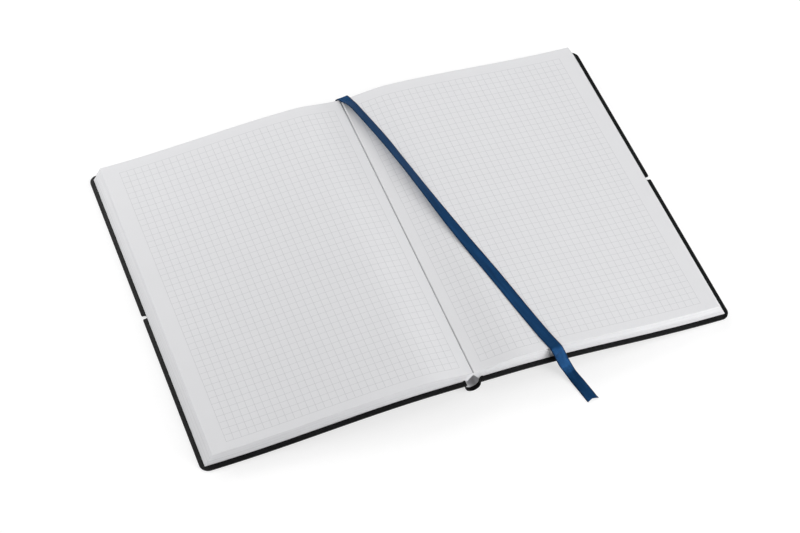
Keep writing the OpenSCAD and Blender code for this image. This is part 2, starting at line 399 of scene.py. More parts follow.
def stretched(tree, where, scale):
    """A place with its three parts scaled apart."""
    return put(tree, "ShaderNodeMapping", {"Vector": where, "Scale": scale}).outputs[0]


def group(name, inputs, outputs):
    """An empty shader node group with named inputs and outputs."""
    made = bpy.data.node_groups.new(name, "ShaderNodeTree")
    for label, kind, value in inputs:
        socket = made.interface.new_socket(label, in_out="INPUT", socket_type=kind)
        if value is not None:
            socket.default_value = value
    for label, kind in outputs:
        made.interface.new_socket(label, in_out="OUTPUT", socket_type=kind)
    return made, made.nodes.new("NodeGroupInput").outputs, made.nodes.new("NodeGroupOutput").inputs


FLOAT = "NodeSocketFloat"
VECTOR = "NodeSocketVector"
COLOUR = "NodeSocketColor"


def paper_fibre_group():
    """Soft mottling and fine fibres of uncoated paper."""
    made, given, out = group(
        "paper_fibre",
        [("Place", VECTOR, None), ("Colour", COLOUR, (0.8, 0.8, 0.8, 1)), ("Mottling", FLOAT, 0.02)],
        [("Colour", COLOUR), ("Height", FLOAT)])
    cloudy = noise(made, given["Place"], 60, 3)
    fibre = noise(made, stretched(made, given["Place"], (2600, 1500, 2000)), 1, 3, 0.6)
    amount = calc(made, "MULTIPLY", calc(made, "SUBTRACT", cloudy, 0.5), given["Mottling"])
    fine = calc(made, "MULTIPLY", calc(made, "SUBTRACT", fibre, 0.5), given["Mottling"])
    tone = calc(made, "ADD", 1.0, calc(made, "ADD", amount, fine))
    shade = put(made, "ShaderNodeVectorMath", {0: given["Colour"]}, operation="SCALE")
    link_or_set(made, shade.inputs["Scale"], tone)
    made.links.new(shade.outputs[0], out["Colour"])
    made.links.new(fibre, out["Height"])
    return made


def leather_grain_group():
    """Pebbled grain of imitation leather: a height and a mask that is 1 in the furrows."""
    made, given, out = group(
        "leather_grain",
        [("Place", VECTOR, None), ("Pebbles per metre", FLOAT, 1500.0)],
        [("Height", FLOAT), ("Furrows", FLOAT), ("Scuffs", FLOAT)])
    bent = put(made, "ShaderNodeTexNoise", {"Vector": given["Place"], "Scale": 500.0, "Detail": 2.0})
    shift = put(made, "ShaderNodeVectorMath", {0: bent.outputs["Color"]}, operation="SCALE")
    shift.inputs["Scale"].default_value = 0.0006
    moved = put(made, "ShaderNodeVectorMath", (given["Place"], shift.outputs[0]), operation="ADD")
    cells = put(made, "ShaderNodeTexVoronoi", {"Vector": moved.outputs[0], "Randomness": 1.0},
                feature="DISTANCE_TO_EDGE")
    link_or_set(made, cells.inputs["Scale"], given["Pebbles per metre"])
    furrow = spread_to(made, cells.outputs["Distance"], 0.0, 0.16, 1.0, 0.0)
    fine = noise(made, given["Place"], 5200, 2)
    height = calc(made, "ADD", calc(made, "SUBTRACT", 1.0, furrow), calc(made, "MULTIPLY", fine, 0.35))
    scuffs = spread_to(made, noise(made, given["Place"], 38, 4, 0.6), 0.45, 0.75, 0.0, 1.0)
    made.links.new(height, out["Height"])
    made.links.new(furrow, out["Furrows"])
    made.links.new(scuffs, out["Scuffs"])
    return made


def squared_print_group():
    """Thin printed squares: a mask that is 1 on the lines. Across is the distance from the gutter."""
    made, given, out = group(
        "squared_print",
        [("Across", FLOAT, None), ("Up", FLOAT, None), ("Pitch", FLOAT, 0.005),
         ("Line width", FLOAT, 0.00023), ("First column", FLOAT, 0.0079), ("Columns", FLOAT, 31.0),
         ("First row", FLOAT, -0.11855), ("Rows", FLOAT, 47.0)],
        [("Lines", FLOAT)])

    def lines(value, first):
        steps = calc(made, "DIVIDE", calc(made, "SUBTRACT", value, first), given["Pitch"])
        off = calc(made, "ABSOLUTE", calc(made, "SUBTRACT", steps, calc(made, "ROUND", steps)))
        half = calc(made, "DIVIDE", calc(made, "MULTIPLY", given["Line width"], 0.5), given["Pitch"])
        return steps, calc(made, "LESS_THAN", off, half)

    def within(steps, count):
        low = calc(made, "GREATER_THAN", steps, -0.02)
        high = calc(made, "LESS_THAN", steps, calc(made, "ADD", count, 0.02))
        return calc(made, "MULTIPLY", low, high)

    column_steps, column = lines(given["Across"], given["First column"])
    row_steps, row = lines(given["Up"], given["First row"])
    inside = calc(made, "MULTIPLY", within(column_steps, given["Columns"]), within(row_steps, given["Rows"]))
    made.links.new(calc(made, "MULTIPLY", calc(made, "MAXIMUM", column, row), inside), out["Lines"])
    return made


paper_fibre = paper_fibre_group()
leather_grain = leather_grain_group()
squared_print = squared_print_group()


def material(name, colour, roughness, **constants):
    """A material with its Principled BSDF, whose constants are set on the shader's own sockets."""
    made = bpy.data.materials.new(name)
    made.use_nodes = True
    made.diffuse_color = (*colour, 1)
    shader = made.node_tree.nodes["Principled BSDF"]
    shader.inputs["Base Color"].default_value = (*colour, 1)
    shader.inputs["Roughness"].default_value = roughness
    for key, value in constants.items():
        shader.inputs[key.replace("_", " ")].default_value = value
    return made, made.node_tree, shader


def place(tree):
    """The place on the piece, in its own frame."""
    return put(tree, "ShaderNodeTexCoord").outputs["Object"]


def bump(tree, shader, height, distance, strength=1.0):
    """Tilts the shader's normal by a height."""
    node = put(tree, "ShaderNodeBump", {"Height": height, "Distance": distance, "Strength": strength})
    tree.links.new(node.outputs[0], shader.inputs["Normal"])


def use_group(tree, made, values):
    """The outputs of a group with some of its inputs given."""
    node = put(tree, "ShaderNodeGroup")
    node.node_tree = made
    for key, value in values.items():
        link_or_set(tree, node.inputs[key], value)
    return node.outputs


PAPER = (0.742, 0.742, 0.757)
PRINT_GREY = (0.53, 0.535, 0.55)
# Painted shade along the gutter's crease: its colour, and the distances from the fold in mm where it is full
# and where it has faded out
PAINTED_GUTTER_SHADE = (0.2, 0.2, 0.21)
SHADE_FULL_WITHIN = 0.2
SHADE_GONE_AT = 0.9
LEATHER = (0.0052, 0.0053, 0.0058)
NAVY = (0.012, 0.066, 0.182)
# Weave of the ribbon: pitch of ribs and warp, and its woven edge
RIB_PITCH = 0.00042
WARP_PITCH = 0.0003
SELVAGE_FROM = 0.0031
SELVAGE_FULL = 0.0036
SELVAGE_SHADE = 0.25
SELVAGE_SHARE = 0.8
# The camera and glossy rays see a grey table that glows up to white, all other light a pale one
TABLE_BOUNCE = 0.84
TABLE_SEEN = 0.4
FLOOR_GLOW = 0.655
SKY = 0.2


def squared_paper():
    """Leaf with printed squares, drawn by the piece's own map of distance from the gutter, and painted shade
    along the gutter's crease.
    """
    made, tree, shader = material("squared_paper", PAPER, 0.75)
    fibre = use_group(tree, paper_fibre, {"Place": place(tree), "Colour": (*PAPER, 1), "Mottling": 0.03})
    uv = put(tree, "ShaderNodeUVMap", uv_map="print")
    parts = put(tree, "ShaderNodeSeparateXYZ", {0: uv.outputs[0]}).outputs
    right = use_group(tree, squared_print, {"Across": parts[0], "Up": parts[1]})
    mirrored = calc(tree, "MULTIPLY", parts[0], -1.0)
    left = use_group(tree, squared_print, {"Across": mirrored, "Up": parts[1], "First column": 0.0073})
    lines = calc(tree, "MAXIMUM", right["Lines"], left["Lines"])
    worn = noise(tree, place(tree), 300, 1)
    ink = calc(tree, "MULTIPLY", lines, spread_to(tree, worn, 0.3, 0.7, 0.85, 1.0))
    colour = blend_colours(tree, ink, fibre["Colour"], (*PRINT_GREY, 1))
    # Painted shade: the leaf darkens within a millimetre of the fold, standing for the shadow in the crease
    depth = spread_to(tree, calc(tree, "ABSOLUTE", parts[0]), SHADE_FULL_WITHIN * MM, SHADE_GONE_AT * MM, 0.6, 0.0)
    colour = blend_colours(tree, depth, colour, (*PAINTED_GUTTER_SHADE, 1))
    tree.links.new(colour, shader.inputs["Base Color"])
    bump(tree, shader, fibre["Height"], 0.00001, 0.4)
    return made


def leaf_edge_paper(name, shade):
    """Cut edges of the leaves, with faint darker lines of painted shade for the gaps between a few of them.
    """
    made, tree, shader = material(name, shade, 0.8)
    uv = put(tree, "ShaderNodeUVMap", uv_map="print").outputs[0]
    parts = put(tree, "ShaderNodeSeparateXYZ", {0: uv}).outputs
    wander = noise(tree, stretched(tree, uv, (9, 9, 1)), 1, 2)
    level = calc(tree, "ADD", parts[1], calc(tree, "MULTIPLY", wander, 0.0006))
    layered = put(tree, "ShaderNodeCombineXYZ", (calc(tree, "MULTIPLY", parts[0], 2.0), level, 0.0))
    broad = noise(tree, stretched(tree, layered.outputs[0], (1, 1100, 1)), 1, 2)
    fine = noise(tree, stretched(tree, layered.outputs[0], (3, 9000, 1)), 1, 1)
    # Painted shade: darker lines across the edges stand for the shadow in the gaps between leaves
    dark = tuple(c * 0.72 for c in shade)
    painted_gap_shade = spread_to(tree, broad, 0.54, 0.64, 0.0, 0.55)
    colour = blend_colours(tree, painted_gap_shade, (*shade, 1), (*dark, 1))
    colour = blend_colours(tree, spread_to(tree, fine, 0.5, 0.75, 0.0, 0.45), colour, (*dark, 1))
    tree.links.new(colour, shader.inputs["Base Color"])
    bump(tree, shader, calc(tree, "ADD", fine, broad), 0.00006, 0.6)
    return made


def plain_paper(name, colour, mottling=0.04):
    """Uncoated paper without print."""
    made, tree, shader = material(name, colour, 0.75)
    fibre = use_group(tree, paper_fibre, {"Place": place(tree), "Colour": (*colour, 1), "Mottling": mottling})
    tree.links.new(fibre["Colour"], shader.inputs["Base Color"])
    bump(tree, shader, fibre["Height"], 0.00002, 0.5)
    return made


def leatherette():
    """Black imitation leather, pebbled, a little paler on its pebbles and along its scuffs."""
    made, tree, shader = material("black_leatherette", LEATHER, 0.5, Specular_IOR_Level=0.22)
    grain = use_group(tree, leather_grain, {"Place": place(tree)})
    pale = tuple(c * 2.1 for c in LEATHER)
    dark = tuple(c * 0.55 for c in LEATHER)
    colour = blend_colours(tree, grain["Furrows"], (*LEATHER, 1), (*dark, 1))
    colour = blend_colours(tree, calc(tree, "MULTIPLY", grain["Scuffs"], 0.5), colour, (*pale, 1))
    tree.links.new(colour, shader.inputs["Base Color"])
    rough = spread_to(tree, grain["Furrows"], 0.0, 1.0, 0.46, 0.72)
    tree.links.new(rough, shader.inputs["Roughness"])
    bump(tree, shader, grain["Height"], 0.00006, 0.7)
    return made


def grey_board():
    """Thin grey card, with its pulp's dark and light flecks."""
    shade = (0.25, 0.23, 0.2)
    made, tree, shader = material("grey_board", shade, 0.85)
    flecks = spread_to(tree, noise(tree, place(tree), 1800, 3), 0.35, 0.65, 0.0, 1.0)
    colour = blend_colours(tree, flecks, (0.19, 0.17, 0.15, 1), (0.3, 0.28, 0.25, 1))
    tree.links.new(colour, shader.inputs["Base Color"])
    bump(tree, shader, flecks, 0.00003, 0.5)
    return made


def ribbon_silk():
    """Navy ribbon: fine ribs across it, a plain weave in them, and darker woven edges."""
    made, tree, shader = material("navy_ribbon", NAVY, 0.5, Metallic=0.6, Specular_IOR_Level=0.1)
    uv = put(tree, "ShaderNodeUVMap", uv_map="weave").outputs[0]
    parts = put(tree, "ShaderNodeSeparateXYZ", {0: uv}).outputs
    rib = calc(tree, "SINE", calc(tree, "MULTIPLY", parts[1], 2 * math.pi / RIB_PITCH))
    warp = calc(tree, "SINE", calc(tree, "MULTIPLY", parts[0], 2 * math.pi / WARP_PITCH))
    weave = calc(tree, "ADD", rib, calc(tree, "MULTIPLY", warp, 0.5))
    edge = calc(tree, "ABSOLUTE", parts[0])
    selvage = spread_to(tree, edge, SELVAGE_FROM, SELVAGE_FULL, 0.0, 1.0)
    uneven = noise(tree, stretched(tree, uv, (300, 40, 1)), 1, 3)
    light = tuple(c * 1.3 for c in NAVY)
    dark = tuple(c * 0.75 for c in NAVY)
    colour = blend_colours(tree, spread_to(tree, uneven, 0.3, 0.7, 0.0, 1.0), (*dark, 1), (*light, 1))
    colour = blend_colours(tree, spread_to(tree, weave, -1.5, 1.5, 0.55, 0.0), colour, (*dark, 1))
    deep = tuple(c * SELVAGE_SHADE for c in NAVY)
    colour = blend_colours(tree, calc(tree, "MULTIPLY", selvage, SELVAGE_SHARE), colour, (*deep, 1))
    tree.links.new(colour, shader.inputs["Base Color"])
    bump(tree, shader, weave, 0.00003, 0.6)
    return made


def floor_white():
    """Pale table that shows as white to the camera and keeps the object's shadow."""
    made, tree, shader = material("white_table", (TABLE_BOUNCE, TABLE_BOUNCE, TABLE_BOUNCE), 0.9)
    seen = put(tree, "ShaderNodeLightPath").outputs
    rays = calc(tree, "MINIMUM", calc(tree, "ADD", seen["Is Camera Ray"], seen["Is Glossy Ray"]), 1.0)
    seen_colour = (TABLE_SEEN, TABLE_SEEN, TABLE_SEEN, 1)
    bounce_colour = (TABLE_BOUNCE, TABLE_BOUNCE, TABLE_BOUNCE, 1)
    tree.links.new(blend_colours(tree, rays, bounce_colour, seen_colour), shader.inputs["Base Color"])
    shader.inputs["Emission Color"].default_value = (1, 1, 1, 1)
    tree.links.new(calc(tree, "MULTIPLY", rays, FLOOR_GLOW), shader.inputs["Emission Strength"])
    shader.inputs["Specular IOR Level"].default_value = 0.0
    return made


# Materials of the pieces
squared = squared_paper()
edges = leaf_edge_paper("leaf_edges", PAPER)
lining_paper = plain_paper("lining_paper", (0.76, 0.76, 0.775))
mull_paper = plain_paper("mull_paper", (0.55, 0.55, 0.57), 0.1)
leather = leatherette()
board = grey_board()
silk = ribbon_silk()


# Geometry node trees: what follows a rule

def geometry_tree(name, inputs):
    """An empty Geometry Nodes tree with named inputs, its nodes for them, and its output socket."""
    tree = bpy.data.node_groups.new(name, "GeometryNodeTree")
    tree.interface.new_socket("Geometry", in_out="INPUT", socket_type="NodeSocketGeometry")
    for label, kind, value in inputs:
        socket = tree.interface.new_socket(label, in_out="INPUT", socket_type=kind)
        if value is not None:
            socket.default_value = value
    tree.interface.new_socket("Geometry", in_out="OUTPUT", socket_type="NodeSocketGeometry")
    return tree, tree.nodes.new("NodeGroupInput").outputs, tree.nodes.new("NodeGroupOutput").inputs[0]


def finished(tree, geometry, finish):
    """Ends a tree: instances made real, and the material set."""
    real = put(tree, "GeometryNodeRealizeInstances", {"Geometry": geometry}).outputs[0]
    return put(tree, "GeometryNodeSetMaterial", {"Geometry": real, "Material": finish}).outputs[0]


def bow_tree():
    """Lifts what was drawn flat to the bow of an open cover, high at the spine and low at the fore edge."""
    tree, given, out = geometry_tree("cover_bow", [
        ("Lift", FLOAT, SPINE_LIFT * MM), ("Bend Start", FLOAT, BEND_START * MM),
        ("Reach", FLOAT, COVER_W * MM), ("Finish", "NodeSocketMaterial", None)])
    position = put(tree, "GeometryNodeInputPosition").outputs[0]
    far = calc(tree, "ABSOLUTE", put(tree, "ShaderNodeSeparateXYZ", {0: position}).outputs[0])
    run = calc(tree, "SUBTRACT", given["Reach"], given["Bend Start"])
    share = calc(tree, "DIVIDE", calc(tree, "SUBTRACT", far, given["Bend Start"]), run)
    share = calc(tree, "MAXIMUM", 0.0, calc(tree, "MINIMUM", 1.0, share))
    wave = calc(tree, "COSINE", calc(tree, "MULTIPLY", share, math.pi))
    rise = calc(tree, "MULTIPLY", calc(tree, "MULTIPLY", calc(tree, "ADD", wave, 1.0), 0.5), given["Lift"])
    offset = put(tree, "ShaderNodeCombineXYZ", (0.0, 0.0, rise)).outputs[0]
    moved = put(tree, "GeometryNodeSetPosition", {"Geometry": given["Geometry"], "Offset": offset}).outputs[0]
    tree.links.new(finished(tree, moved, given["Finish"]), out)
    return tree


def leaf_ends_tree():
    """Lets each leaf stand back a little at the head, tail and fore edge, and bows the stack."""
    tree, given, out = geometry_tree("leaf_ends", [
        ("Unevenness", FLOAT, 0.0001), ("Seed", "NodeSocketInt", 5), ("Lift", FLOAT, SPINE_LIFT * MM),
        ("Bend Start", FLOAT, BEND_START * MM), ("Reach", FLOAT, COVER_W * MM),
        ("Edges", "NodeSocketMaterial", None), ("Print", "NodeSocketMaterial", None)])

    def named(label, kind="FLOAT"):
        node = put(tree, "GeometryNodeInputNamedAttribute", data_type=kind)
        node.inputs["Name"].default_value = label
        return node.outputs["Attribute"]

    def per_leaf(seed_shift):
        node = put(tree, "FunctionNodeRandomValue", data_type="FLOAT")
        link_or_set(tree, node.inputs["ID"], named("leaf", "INT"))
        link_or_set(tree, node.inputs["Seed"], calc(tree, "ADD", given["Seed"], seed_shift))
        return calc(tree, "MULTIPLY", node.outputs[1], given["Unevenness"])

    back_y = calc(tree, "MULTIPLY", named("end"), calc(tree, "MULTIPLY", per_leaf(0.0), -1.0))
    back_x = calc(tree, "MULTIPLY", named("fore"), calc(tree, "MULTIPLY", per_leaf(1.0), -0.6))
    offset = put(tree, "ShaderNodeCombineXYZ", (back_x, back_y, 0.0)).outputs[0]
    moved = put(tree, "GeometryNodeSetPosition", {"Geometry": given["Geometry"], "Offset": offset}).outputs[0]
    bowed = put(tree, "GeometryNodeGroup", node_tree=cover_bow)
    link_or_set(tree, bowed.inputs["Geometry"], moved)
    for label in ("Lift", "Bend Start", "Reach"):
        link_or_set(tree, bowed.inputs[label], given[label])
    link_or_set(tree, bowed.inputs["Finish"], given["Edges"])
    last = put(tree, "GeometryNodeSetMaterial", {"Geometry": bowed.outputs[0], "Material": given["Print"],
                                                 "Selection": named("printed", "BOOLEAN")})
    tree.links.new(last.outputs[0], out)
    return tree


cover_bow = bow_tree()
leaf_ends = leaf_ends_tree()


def shaped(piece, tree, values):
    """Runs a tree on a piece with named inputs, and keeps the result as its plain mesh."""
    modifier = piece.modifiers.new(tree.name, "NODES")
    modifier.node_group = tree
    sockets = {s.name: s.identifier for s in tree.interface.items_tree if s.in_out == "INPUT"}
    for label, value in values.items():
        modifier[sockets[label]] = value
    evaluated = piece.evaluated_get(bpy.context.evaluated_depsgraph_get())
    made = bpy.data.meshes.new_from_object(evaluated)
    piece.modifiers.clear()
    piece.data = made
    made.name = piece.name


# Open leaves: the section of the solid, with the cut ends of the leaves in fine steps
LEAVES = 46
LEAF_STATIONS = 64
LEAF_SPACING = 1.3
HEIGHT_STATIONS = 7
UNEVEN_LEAVES = 0.16
# The lowest leaf settles to this height over the endpaper, in one part in SETTLE_RATE of its points
LEAF_REST = 0.04
SETTLE_RATE = 4
# The left leaves lie a little looser than the right ones, and all of them meet without play at the fold
LOOSER_LEFT = 1.7
FOLD_LINE = 1e-6


def flat_rows():
    """The top leaf's line and the lowest leaf's line of the right half, in X and Z, before the bow."""
    back_x = SPINE_R - SKIN_T - PAPER_T - REST_GAP
    back_r = TURN_R + SKIN_T + PAPER_T + REST_GAP
    low_z = COVER_T + REST_GAP
    rest_z = COVER_T + LEAF_REST
    d = CREASE_HALF_W + (PAGE_W - CREASE_HALF_W) * np.linspace(0, 1, LEAF_STATIONS - 1) ** LEAF_SPACING
    top = np.stack([d, low_z + HALF_T - dip(d)], axis=1)
    top = np.concatenate([[[0, low_z + HALF_T - GUTTER_DIP - CREASE_DEPTH]], top])
    turned = np.radians(np.linspace(180, 90, 7))
    turn_z = TURN_Z - SPINE_LIFT
    arc = np.stack([SPINE_R + TURN_R + back_r * np.cos(turned), turn_z + back_r * np.sin(turned)], axis=1)
    rest = LEAF_STATIONS - 1 - len(arc)
    low_d = arc[-1, 0] + np.linspace(0, 1, rest + 1)[1:] ** LEAF_SPACING * (LOW_LEAF_W - arc[-1, 0])
    settled = np.minimum(1, np.linspace(0, SETTLE_RATE, rest + 1)[1:])
    low = np.stack([low_d, low_z + (rest_z - low_z) * settled], axis=1)
    low = np.concatenate([[[back_x, turn_z - BACK_DROP]], arc, low])
    fold = np.array([0, low_z + HALF_T - GUTTER_DIP - FOLD_T])
    return top, low, fold


def leaf_line(top, low, fold, share):
    """The line of the leaf at a share of the way down from the top one."""
    line = top + (low - top) * share
    first = np.linalg.norm(top[0] - fold)
    whole = first + np.linalg.norm(low[0] - fold)
    past = share * whole - first
    if past < 0:
        line[0] = top[0] + (fold - top[0]) * share * whole / first
    else:
        line[0] = fold + (low[0] - fold) * past / (whole - first)
    return line


def half_of_leaves():
    """Points, faces, kinds, marks and seats of the right half, open where the halves join."""
    top, low, fold = flat_rows()
    joined = np.linalg.norm(top[0] - fold)
    joined /= joined + np.linalg.norm(low[0] - fold)
    bounds = np.unique(np.append(np.linspace(0, 1, LEAVES + 1), joined))
    levels = np.repeat(bounds, 2)[1:-1]
    leaf_of = np.repeat(np.arange(len(bounds) - 1), 2)
    rows = len(levels)
    columns = len(top)
    lines = np.array([leaf_line(top, low, fold, s) for s in levels])
    rim = [(0, k) for k in range(columns)] + [(i, columns - 1) for i in range(1, rows)]
    rim += [(rows - 1, k) for k in range(columns - 2, -1, -1)] + [(i, 0) for i in range(rows - 2, 0, -1)]
    points, marks = [], []
    for end in (-1, 1):
        for i in range(rows):
            for k in range(columns):
                points.append((lines[i, k, 0], end * PAGE_H / 2, lines[i, k, 1]))
                marks.append((leaf_of[i], end, k == columns - 1))
    size = rows * columns
    tail = grid_faces(rows, columns)
    faces = list(tail) + [tuple(n + size for n in reversed(f)) for f in tail]
    kinds = ["end"] * len(faces)
    rings = [[i * columns + k for i, k in rim]]
    for share in np.linspace(-1, 1, HEIGHT_STATIONS + 2)[1:-1]:
        rings.append([len(points) + j for j in range(len(rim))])
        for i, k in rim:
            points.append((lines[i, k, 0], share * PAGE_H / 2, lines[i, k, 1]))
            marks.append((leaf_of[i], share, k == columns - 1))
    rings.append([size + n for n in rings[0]])
    for near, next_ring in zip(rings, rings[1:]):
        for j in range(len(rim)):
            m = (j + 1) % len(rim)
            both = (rim[j], rim[m])
            if all(k == 0 and lines[i, k, 0] < FOLD_LINE for i, k in both):
                continue
            faces.append((near[m], near[j], next_ring[j], next_ring[m]))
            kinds.append("top" if all(i == 0 for i, k in both) else "side")
    steps = np.linalg.norm(np.diff(lines[0], axis=0), axis=1)
    across = np.concatenate([[0], np.cumsum(steps)])
    seat = {}
    for ring in rings:
        for j, (i, k) in enumerate(rim):
            seat[ring[j]] = (i, k)
    for n in range(2 * size):
        seat[n] = (n % size // columns, n % columns)
    return points, faces, kinds, marks, seat, across, levels


def make_leaves():
    """Both halves of the open leaves as one closed mesh, joined along the fold."""
    points, faces, kinds, marks, seat, across, levels = half_of_leaves()
    count = len(points)
    both = [(x, y, z) for x, y, z in points] + [(-x, y, z) for x, y, z in points]
    all_faces = list(faces) + [tuple(n + count for n in reversed(f)) for f in faces]
    all_kinds = kinds + kinds
    piece = new_piece("open_leaves", both, all_faces)

    def map_corner(face, point):
        side = 1 if point < count else -1
        n = point % count
        i, k = seat[n]
        if all_kinds[face] == "top":
            return (side * across[k] * MM, points[n][1] * MM)
        if all_kinds[face] == "end":
            return (side * across[k] * MM, levels[i] * HALF_T * MM)
        return (points[n][1] * MM, levels[i] * HALF_T * MM)

    put_uv(piece, "print", map_corner)
    mesh = piece.data
    leaf = mesh.attributes.new("leaf", "INT", "POINT")
    leaf.data.foreach_set("value", [int(m[0]) + 1000 * side for side in (0, 1) for m in marks])
    end = mesh.attributes.new("end", "FLOAT", "POINT")
    held = [0.0 if x < FOLD_LINE else 1.0 for x, y, z in points]
    end.data.foreach_set("value", [float(m[1]) * free * loose for loose in (1, LOOSER_LEFT)
                                   for m, free in zip(marks, held)])
    fore = mesh.attributes.new("fore", "FLOAT", "POINT")
    fore.data.foreach_set("value", [side * float(m[2]) for side in (1, -1) for m in marks])
    printed = mesh.attributes.new("printed", "BOOLEAN", "FACE")
    printed.data.foreach_set("value", [kind == "top" for kind in all_kinds])
    shaped(piece, leaf_ends, {"Unevenness": UNEVEN_LEAVES * MM, "Seed": 5, "Edges": edges, "Print": squared})
    mend(piece.data)
    piece.data.set_sharp_from_angle(angle=SHARP_LEAVES)
    return piece


leaves = make_leaves()
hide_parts("text_block")
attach(leaves, "book_block")


# Covers: leatherette wrapped over the card, drawn flat and then bowed
WRAP_X = HINGE_X + 0.25
GROOVE_FROM = WRAP_X + 0.03
GROOVE_TO = CARD_X - SKIN_T
GROOVE = [WRAP_X] + list(np.linspace(GROOVE_FROM, GROOVE_TO, 7)) + [9.0, 12.0, 16.0]
RIM_R = 0.3
RIM_STEPS = 4
EDGE_STEPS = 14
NOTCH_STEPS = 6


def arc_points(centre, radius, start, stop, steps):
    """Points on an arc, between two angles in degrees."""
    turned = np.radians(np.linspace(start, stop, steps + 1))
    return [(centre[0] + radius * math.cos(a), centre[1] + radius * math.sin(a)) for a in turned]


def underside(x):
    """Height of the wrapped cover's outside over its lowest face, raised in the soft joint."""
    share = min(1, max(0, (x - GROOVE_FROM) / (GROOVE_TO - GROOVE_FROM)))
    return CARD_T * (1 - math.sqrt(1 - (1 - share) ** 2))


def cover_outline():
    """Plan of the right cover from the joint at the tail round to the joint at the head."""
    far_x = COVER_W - CORNER_R
    far_y = COVER_H / 2 - CORNER_R
    along = GROOVE + [x for x in BEND_AT if x < far_x - 1] + [far_x]
    lower = [(x, -COVER_H / 2) for x in along]
    lower += arc_points((far_x, -far_y), CORNER_R, -90, 0, EDGE_STEPS)[1:]
    lower += [(COVER_W, y) for y in np.linspace(-far_y, -NOTCH_W / 2 - LIP_R, EDGE_STEPS)[1:-1]]
    lower += arc_points((COVER_W - LIP_R, -NOTCH_W / 2 - LIP_R), LIP_R, 0, 90, NOTCH_STEPS)
    end_x = COVER_W - NOTCH_DEPTH + NOTCH_W / 2
    lower += arc_points((end_x, 0), NOTCH_W / 2, -90, -180, NOTCH_STEPS)
    upper = [(x, -y) for x, y in reversed(lower[:-1])]
    return np.array(lower + upper), len(along)


def make_cover(side):
    """One cover of leatherette with round edges, hollow where its card lies."""
    outline, stations = cover_outline()
    total = len(outline)
    ahead = np.roll(outline, -1, axis=0) - outline
    ahead[-1] = ahead[-2]
    behind = outline - np.roll(outline, 1, axis=0)
    behind[0] = behind[1]
    ahead /= np.linalg.norm(ahead, axis=1)[:, None]
    behind /= np.linalg.norm(behind, axis=1)[:, None]
    tangent = ahead + behind
    tangent /= np.linalg.norm(tangent, axis=1)[:, None]
    inward = np.stack([-tangent[:, 1], tangent[:, 0]], axis=1)
    low = np.array([underside(x) for x, y in outline])
    radius = np.minimum(RIM_R, (WRAP_T - low) / 2)
    turns = list(np.linspace(-90, 0, RIM_STEPS + 1)) + list(np.linspace(0, 90, RIM_STEPS + 1))
    rings = []
    for n, turn in enumerate(np.radians(turns)):
        plan = outline + inward * (radius * (1 - math.cos(turn)))[:, None]
        centre = low + radius if n <= RIM_STEPS else WRAP_T - radius
        rings.append(np.column_stack([plan, centre + radius * math.sin(turn)]))
    points = np.concatenate(rings)
    faces = grid_faces(len(turns), total)
    top = (len(turns) - 1) * total
    for i in range(stations - 1):
        j = total - 1 - i
        faces.append((i, j, j - 1, i + 1))
        faces.append((top + i, top + i + 1, top + j - 1, top + j))
    rest = list(range(stations - 1, total - stations + 1))
    faces.append(tuple(reversed(rest)))
    faces.append(tuple(top + n for n in rest))
    first = [r * total for r in range(len(turns))]
    last = [r * total + total - 1 for r in range(len(turns))]
    faces.append(tuple(first + last[::-1]))
    if side < 0:
        points[:, 0] *= -1
        faces = [tuple(reversed(f)) for f in faces]
    name = "left" if side < 0 else "right"
    piece = new_piece(name + "_leatherette", points, faces)
    mend(piece.data, most_corners=8)
    shaped(piece, cover_bow, {"Finish": leather})
    inside = bmesh.new()
    inside.from_mesh(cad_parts[name + "_card"].data)
    bmesh.ops.remove_doubles(inside, verts=inside.verts, dist=WELD)
    bmesh.ops.reverse_faces(inside, faces=inside.faces)
    hollow = bpy.data.meshes.new("hollow")
    inside.to_mesh(hollow)
    inside.free()
    whole = bmesh.new()
    whole.from_mesh(piece.data)
    whole.from_mesh(hollow)
    for face in whole.faces:
        face.material_index = 0
    whole.to_mesh(piece.data)
    whole.free()
    piece.data.set_sharp_from_angle(angle=SHARP_SKIN)
    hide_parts(name + "_cover_skin")
    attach(piece, name + "_cover")


for side in (-1, 1):
    make_cover(side)


# Spine of leatherette, and the two soft joints between spine and covers, in millimetres
# Skin worn thin at the spine's ends: over this length, to this share
WORN_END = 0.1
WORN_LEFT = 0.55
LINING_H = 246.4
# The fold of gathered skin: its start, its lowest height, and its underside as distances from
# the cover's wrap and from its start, with heights over the lowest
FOLD_FROM = SPINE_R - 0.05
FOLD_LOW = SPINE_LIFT + 0.03
FOLD_BY_COVER = [(0, 0), (0.4, 0.02), (0.85, 0.03)]
FOLD_BY_SPINE = [(0.2, 0.05), (0.07, 0.12), (0, 0.27)]
# Past the ends of the spine the fold reaches to here on either side, a little lower and rounded
END_FROM = {-1: 5.3, 1: 4.3}
END_SINK = 0.02
END_ROUND = 0.2
# Points of the joint's section along its upper side
TOP_POINTS = 15


def spine_paths(*depths):
    """Lines in X and Z at these depths under the spine's outside, from the left joint to the right one."""
    paths = []
    for depth in depths:
        right = arc_points((0, SPINE_R), SPINE_R - depth, -90, 0, 20)
        right += [(SPINE_R - depth, z) for z in np.linspace(SPINE_R, TURN_Z, 4)[1:-1]]
        right += arc_points((SPINE_R + TURN_R, TURN_Z), TURN_R + depth, 180, 90, 8)
        right += [(HINGE_X - HALF_SLIT, JOINT_Z + depth)]
        paths.append([(-x, z) for x, z in reversed(right[1:])] + right)
    return paths


